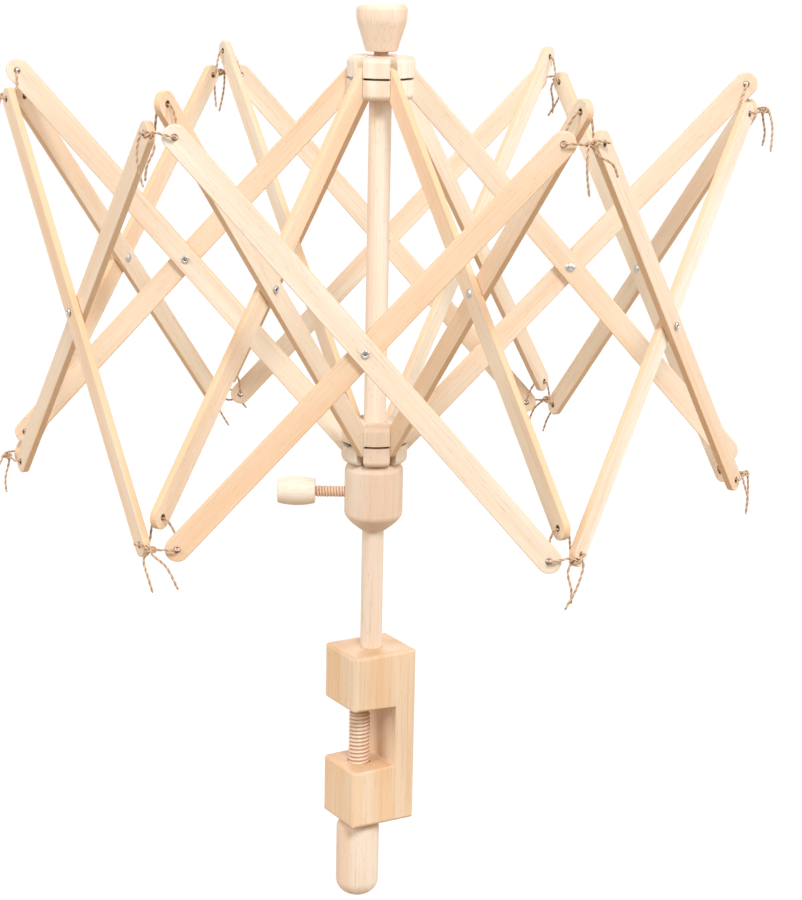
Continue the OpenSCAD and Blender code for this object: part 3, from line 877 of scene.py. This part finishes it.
def make_eased(name, body, material, tint, seed, **easing):
    """An eased copy darkened in proportion to n^2, n the upward part of the normal: end grain and painted shade.
    """
    mesh = eased_copy(name, **easing)
    normals = weigh_normals(mesh)
    paint_grain(mesh, points_of(mesh)[:, [2, 0, 1]], tint, seed, END_GRAIN_AND_SHADE * normals[:, 2] ** 2)
    piece = finish_piece(name + "_eased", mesh, body, name, material, sharp=0)
    mesh.normals_split_custom_set_from_vertices(normals)
    return piece


eased = [make_eased("upper_hub", "head", turned_wood, tint=0.3, seed=51, width=0.8 * MM),
         make_eased("lower_hub", "runner", turned_wood, tint=0.4, seed=52, width=0.8 * MM),
         make_eased("clamp_body", "stand", clamp_wood, tint=0.85, seed=53, width=0.6 * MM,
                    rims=JAW_RIMS, rim_width=2 * MM, bore_x=SCREW_X * MM),
         make_eased("lock_collar", "lock_collar", turned_wood, tint=0.7, seed=54, width=0.4 * MM,
                    rims=COLLAR_RIMS, rim_width=1.6 * MM, foot=COLLAR_RIMS[0])]
for piece in eased:
    print(piece.name, len(piece.data.polygons), "faces")

# %% [markdown]
# ## String ties
# At each tip one length of twine goes through the rib and the two outer slats and is tied in front,
# with two loose ends. Its route is the same list of points as in the solids, measured from the rib's
# end hole: x outwards, y round the post and z up.

# %% Tie route
STRING_D = 1.6 * MM
TIE_DROP = 18 * MM
SIDE_GAP = 0.3 * MM
INNER_LAYER = 5.0 * MM
OUTER_LAYER = 9.8 * MM
TIE_GAP = PIVOT_R / 2
COS_30, SIN_30 = math.cos(math.pi / 6), 0.5
FIRST_LOOSE_END = [(4, -10, -30), (5, -9, -15), (4, -4, -4), (2, 0, 0)]
LAST_LOOSE_END = [(-1, 0, -3), (1, 5, -9), (3, 9, -17), (2, 11, -26)]


def tie_hole(layer, side):
    """Where a slat's end hole is, from the rib's end hole."""
    return np.array([layer * COS_30 - TIE_GAP / 2, side * (TIE_GAP * COS_30 + layer * SIN_30),
                     -TIE_DROP])


def tie_route():
    """The top string's points: loose end, crossing, slat, rib, slat, crossing, loose end."""
    hang = np.array([0, 0, END_HOLE_R - STRING_D / 2 - SIDE_GAP])
    a, b = tie_hole(OUTER_LAYER, 1) + hang, tie_hole(INNER_LAYER, -1) + hang
    out_a, out_b = np.array([COS_30, SIN_30, 0]), np.array([COS_30, -SIN_30, 0])
    rib, over = np.array([0, RIB_SIDE, 0]) - hang, np.array([0, 1, 0])
    mouth, stand = SLAT_T / 2 + SIDE_GAP, SLAT_T / 2 + 1.5 * STRING_D
    knot = np.array([OUTER_LAYER + SLAT_T / 2, 0, 3 * MM - TIE_DROP])
    rib_a, rib_b = rib + stand * over, rib - stand * over
    in_a, in_b = a - stand * out_a, b - stand * out_b
    between = [
        a + (stand + MM) * out_a, a + mouth * out_a, a - mouth * out_a, in_a,
        (in_a + rib_a) / 2 + MM * np.array([-1, 1, 0]), rib_a, rib + mouth * over,
        rib - mouth * over, rib_b, (in_b + rib_b) / 2 + MM * np.array([-1, -1, 0]), in_b,
        b - mouth * out_b, b + mouth * out_b, b + (stand + MM) * out_b,
    ]
    first, last = (knot + MM * np.array(end) for end in (FIRST_LOOSE_END, LAST_LOOSE_END))
    return np.concatenate([first, between, last]), knot


top_route, knot = tie_route()
print("a tie's route of", len(top_route), "points")

# %% [markdown]
# A smooth curve goes through the points of a route. String doesn't turn sharp corners, so the curve is
# softened as well.

# %% Smooth lines
SOFT_BEND = 1.5 * MM


def smooth_line(points, parts):
    """The curve through the points whose slope at each is half the step between its neighbours."""
    p = np.concatenate([points[:1], points, points[-1:]])
    t = (np.arange(parts) / parts)[None, :, None]
    a, b, d, e = (p[k:len(p) - 3 + k, None, :] for k in range(4))
    bends = 0.5 * (2 * b + (d - a) * t + (2 * a - 5 * b + 4 * d - e) * t ** 2
                   + (3 * b - 3 * d + e - a) * t ** 3)
    return np.concatenate([bends.reshape(-1, 3), points[-1:]])


def even_steps(line, step):
    """The same line with its points a fixed step apart, and how far along each is."""
    far = np.concatenate([[0], np.cumsum(np.linalg.norm(np.diff(line, axis=0), axis=1))])
    at = np.linspace(0, far[-1], int(round(far[-1] / step)) + 1)
    return np.stack([np.interp(at, far, line[:, k]) for k in range(3)], -1), at


def softened(line, step):
    """Each point becomes the mean of its neighbours, weighed by a bell, so that corners turn softly.

    Beyond its ends the line goes on as its own mirror image, so the ends stay in place.
    """
    reach = int(4 * SOFT_BEND / step)
    bell = np.exp(-0.5 * (np.arange(-reach, reach + 1) * step / SOFT_BEND) ** 2)
    longer = np.concatenate([2 * line[:1] - line[reach:0:-1], line,
                             2 * line[-1:] - line[-2:-2 - reach:-1]])
    return np.stack([np.convolve(longer[:, k], bell / bell.sum(), "valid") for k in range(3)], -1)


def line_frames(line, closed=False):
    """Directions along the line and two square to it, with no twist from point to point."""
    if closed:
        along = np.roll(line, -1, axis=0) - np.roll(line, 1, axis=0)
    else:
        along = np.gradient(line, axis=0)
    along /= np.linalg.norm(along, axis=1, keepdims=True)
    side = np.empty_like(along)
    last = np.array([0.31, 0.17, 0.93])
    for k, t in enumerate(along):
        last = last - np.dot(last, t) * t
        last = last / np.linalg.norm(last)
        side[k] = last
    return along, side, np.cross(along, side)


print("line helpers ready")

# %% [markdown]
# The twine is two plies twisted together, so its section is a circle with two soft lobes that turn as
# it goes along. A wire is the same strand without lobes.

# %% Strands
PLY_PITCH = 4.0 * MM
TWINE_DIP = 0.28
TIP_R_SHARE, TIP_TAPER = 0.35, 1.0 * MM


def strand_skin(line, far, diameter, dip, closed=False, sides=12):
    """A strand along a line: radius = diameter / 2 (1 - dip sin^2(angle - twist)), tapered at tips."""
    _, side, other = line_frames(line, closed)
    angle = np.linspace(0, 2 * np.pi, sides, endpoint=False)[None, :]
    turns = max(1, round(far[-1] / PLY_PITCH)) if closed else far[-1] / PLY_PITCH
    reach = diameter / 2 * (1 - dip * np.sin(angle - np.pi * turns * (far / far[-1])[:, None]) ** 2)
    if not closed:
        taper = np.minimum(1, TIP_R_SHARE + np.minimum(far, far[-1] - far) / TIP_TAPER)
        reach = reach * taper[:, None]
    grid = line[:, None, :] + reach[..., None] * (
        np.cos(angle)[..., None] * side[:, None, :] + np.sin(angle)[..., None] * other[:, None, :])
    if closed:
        return Skin().add(grid, wrap_rows=True, wrap_columns=True)
    tips = [np.broadcast_to(line[k], (1, sides, 3)) for k in (0, -1)]
    return Skin().add(np.concatenate([tips[0], grid, tips[1]]), wrap_columns=True)


def twine_mesh(name, line, far, closed=False):
    """Twine along a line. Each point keeps how far out it lies, from 0 between plies to 1."""
    mesh = strand_skin(line, far, STRING_D, TWINE_DIP, closed).mesh(name)
    away = np.min(np.linalg.norm(points_of(mesh)[:, None, :] - line[None, :, :], axis=2), axis=1)
    store(mesh, "ply", "FLOAT", np.clip((away / STRING_D * 2 - 1 + TWINE_DIP) / TWINE_DIP, 0, 1))
    return mesh


print("strand helpers ready")

# %% [markdown]
# Each tie is its length of twine and a knot. Its loose ends are turned about the knot at random, so
# that no two ties look alike. The bottom ties are the mirror image of the top ones.

# %% Twelve ties
SWAY = math.radians(35)
SWAY_SEED = 2167
TWINE_STEP = 0.5 * MM
KNOT_SIZE = 1.15 * MM
KNOT_SHIFT = MM * np.array([1.0, 0, -2.0])


def trefoil(size, count=120):
    """A closed knot of three crossings: the line (sin t + 2 sin 2t, cos t - 2 cos 2t, -sin 3t)."""
    t = np.linspace(0, 2 * np.pi, count + 1)
    return size * np.stack([np.sin(t) + 2 * np.sin(2 * t), np.cos(t) - 2 * np.cos(2 * t),
                            -np.sin(3 * t)], -1)


def swayed(route, seed):
    """The route with each loose end turned about the knot's outward line by its own angle."""
    route = route.copy()
    for points, angle in zip((slice(0, 2), slice(-2, None)),
                             np.random.default_rng(seed).uniform(-SWAY, SWAY, 2)):
        c, s = math.cos(angle), math.sin(angle)
        route[points] = knot + (route[points] - knot) @ np.array([[1, 0, 0], [0, c, s], [0, -s, c]])
    return route


def make_tie(end, n, route):
    """One tie and its knot, and the length of its twine."""
    name = f"{end}_tie_{n}"
    origin, tangent = joint_at(f"{name}_turn"), joint_axis(f"{name}_turn")
    turn = np.stack([np.cross(tangent, UP), tangent, UP])
    line, far = even_steps(smooth_line(route, 24), TWINE_STEP)
    line, far = even_steps(softened(line, far[1]), TWINE_STEP)
    line = origin + line @ turn
    tie = finish_piece(name + "_twine", twine_mesh(name + "_twine", line, far), name, name,
                       twine, sharp=80)
    loop, loop_far = even_steps(trefoil(KNOT_SIZE), TWINE_STEP)
    loop = origin + (loop[:-1] + knot + KNOT_SHIFT) @ turn
    lump = finish_piece(name + "_knot", twine_mesh(name + "_knot", loop, loop_far[:-1], True), name,
                        None, twine, sharp=80)
    leaves = line[np.argmin(np.linalg.norm(line - origin - route[2] @ turn, axis=1))]
    return far[-1]


routes = {"top": top_route, "bottom": top_route * [1, -1, 1]}
lengths = [make_tie(end, n, swayed(routes[end], SWAY_SEED + 10 * len(end) + n))
           for end in routes for n in ARMS]
print("twelve ties with", np.round(np.array(lengths) / MM, 1), "mm of twine")

# %% [markdown]
# ## Hub wires
# A ring of wire lies in the groove of each hub, and the ribs pivot on it. Its two ends are twisted
# together and bent flat against the hub. Each twisted end is a line that winds round a bent path.

# %% Hub wires
WIRE_D = 1.2 * MM
END_D = 1.05 * MM
END_OFFSET = 0.52 * MM
TWIST_PITCH = 3.6 * MM
GROOVE_RUN = 4.6 * MM
TWIST_PATH = MM * np.array([(18.2, 0, 0), (20.5, 0, 0), (22.6, 0.3, 0), (23.6, 1.7, 0),
                            (23.9, 4.2, 0), (23.7, 8.0, 0)])


def wire_ring(radius, sides=160):
    """A circle's points, and how far along each is."""
    turn = np.linspace(0, 2 * np.pi, sides, endpoint=False)
    return np.stack([radius * np.cos(turn), radius * np.sin(turn), 0 * turn], -1), radius * turn


def twisted_end(path, phase):
    """A line at END_OFFSET from the path: beside it in the groove, then once round it in each pitch."""
    line, far = even_steps(smooth_line(path, 16), 0.25 * MM)
    _, side, other = line_frames(line)
    angle = (2 * np.pi * np.maximum(far - GROOVE_RUN, 0) / TWIST_PITCH + phase)[:, None]
    return line + END_OFFSET * (np.cos(angle) * side + np.sin(angle) * other), far


for node, body, pivot in (("upper_wire", "head", upper_pivot), ("lower_wire", "runner", lower_pivot)):
    skin = strand_skin(*wire_ring(PIVOT_R), WIRE_D, 0.0, closed=True)
    for phase in (np.pi / 2, -np.pi / 2):
        skin.join(strand_skin(*twisted_end(TWIST_PATH, phase), END_D, 0.0))
    mesh = skin.mesh(node + "_bent")
    carry(mesh, pivot[2] * UP, joint_axis("falling_slat_3_turn"), UP)
    finish_piece(node + "_bent", mesh, body, node, wire_metal, sharp=60)
print("two hub wires with twisted ends")

# %% [markdown]
# ## Floor and sky
# A floor and a plain world stand for the studio. The camera sees both as white, and the floor still
# takes a soft shadow. Other rays find a darker, warmer floor and sky, which give the undersides of the
# wood the warm tone that they have in the photograph. The floor lies low enough for the grip to be
# screwed all the way down.

# %% Floor and sky
WHITE = (1, 1, 1, 1)
FLOOR_TONE = (0.46, 0.39, 0.31, 1)
GLOW, GLOW_SHARE = 1.16, 0.85
FLOOR_DROP = 40 * MM
FLOOR_REACH = 6.0
SKY = 0.26
WARM = (1.0, 0.81, 0.62, 1)


def looked_at(tree):
    """1 for rays that come from the camera, straight or by way of a mirror or glass."""
    path = tree.nodes.new("ShaderNodeLightPath")
    camera_ray, glossy_ray, glass_ray = (Wire(tree, path.outputs[f"Is {kind} Ray"])
                                         for kind in ("Camera", "Glossy", "Transmission"))
    return camera_ray.most(glossy_ray).most(glass_ray)


def white_floor():
    """A matt floor that glows white where it is looked at."""
    material, shader, start = new_material("floor_white")
    tree = material.node_tree
    shader.inputs["Base Color"].default_value = FLOOR_TONE
    shader.inputs["Roughness"].default_value = 1.0
    shader.inputs["Specular IOR Level"].default_value = 0.0
    glow = start.node("ShaderNodeEmission", None, {"Color": WHITE, "Strength": GLOW})
    mixed = start.node("ShaderNodeMixShader", None,
                       {0: looked_at(tree) * GLOW_SHARE, 1: start, 2: glow})
    tree.links.new(mixed.socket, tree.nodes["Material Output"].inputs["Surface"])
    return material


level = cad_box[0][2] - FLOOR_DROP
mesh = bpy.data.meshes.new("floor")
mesh.from_pydata([(FLOOR_REACH * x, FLOOR_REACH * y, level)
                  for x, y in ((-1, -1), (1, -1), (1, 1), (-1, 1))], [], [(0, 1, 2, 3)])
mesh.materials.append(white_floor())
floor = bpy.data.objects.new("floor", mesh)
bpy.context.scene.collection.objects.link(floor)

world = bpy.data.worlds.new("studio")
world.use_nodes = True
bpy.context.scene.world = world
sky = world.node_tree.nodes["Background"]
seen = looked_at(world.node_tree)
connect(seen.blend(WARM, WHITE), sky, "Color")
connect(SKY + (1 - SKY) * seen, sky, "Strength")
print("floor at", round(level / MM, 1), "mm")

# %% [markdown]
# ## Lamps
# A key lamp high in front draws the shadows under the hubs, and three large lamps round the object
# fill them, as white studio walls would. Each lamp's numbers are its azimuth and elevation in degrees,
# its distance and size in metres, and its power in watts.

# %% Lamps
LAMPS = {"key": (-17, 46, 6.0, 1.4, 235), "fill_left": (-95, 30, 4.0, 2.4, 78),
         "fill_right": (45, 28, 4.0, 2.4, 72), "fill_back": (160, 30, 4.0, 2.4, 60)}
for name, (azimuth, elevation, distance, size, power) in LAMPS.items():
    lamp_data = bpy.data.lights.new(name, "AREA")
    lamp_data.size = size
    lamp_data.energy = power
    lamp = bpy.data.objects.new(name, lamp_data)
    bpy.context.scene.collection.objects.link(lamp)
    lamp.matrix_world = looking(camera_axes(math.radians(azimuth), math.radians(elevation), 0.0),
                                distance)
print(len(LAMPS), "lamps")
